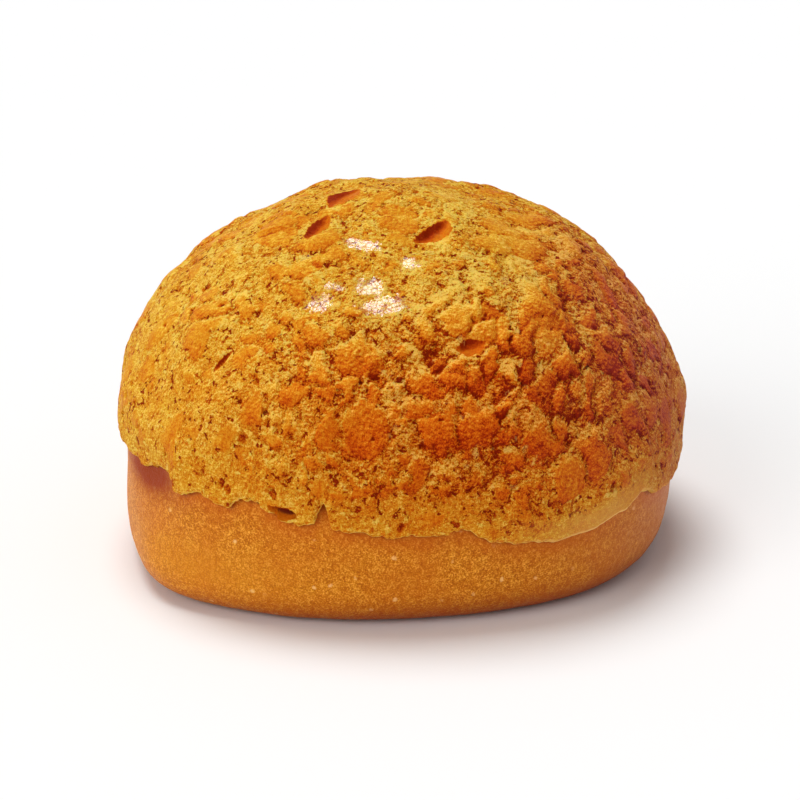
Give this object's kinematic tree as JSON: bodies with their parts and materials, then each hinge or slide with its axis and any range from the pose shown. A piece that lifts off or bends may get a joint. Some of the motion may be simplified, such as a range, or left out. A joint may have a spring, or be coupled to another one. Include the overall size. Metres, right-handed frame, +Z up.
{
  "type": "pineapple bun",
  "caption": "Round domed bread roll under a thin cracked cookie-dough topping with a lobed lower edge, standing on its flat base",
  "frame": {"origin": "Centre of the bun's flat base, under the middle of its bounding box", "axes": "+Z up out of the base, +X to the bun's right as seen from the front, -Y to the front"},
  "size_m": [0.0942, 0.09, 0.0601],
  "materials": {
    "baked_bread": "matte",
    "cookie_crust": "satin"
  },
  "bodies": {
    "root": {"bread": "baked_bread", "topping": "cookie_crust"}
  },
  "joints": []
}
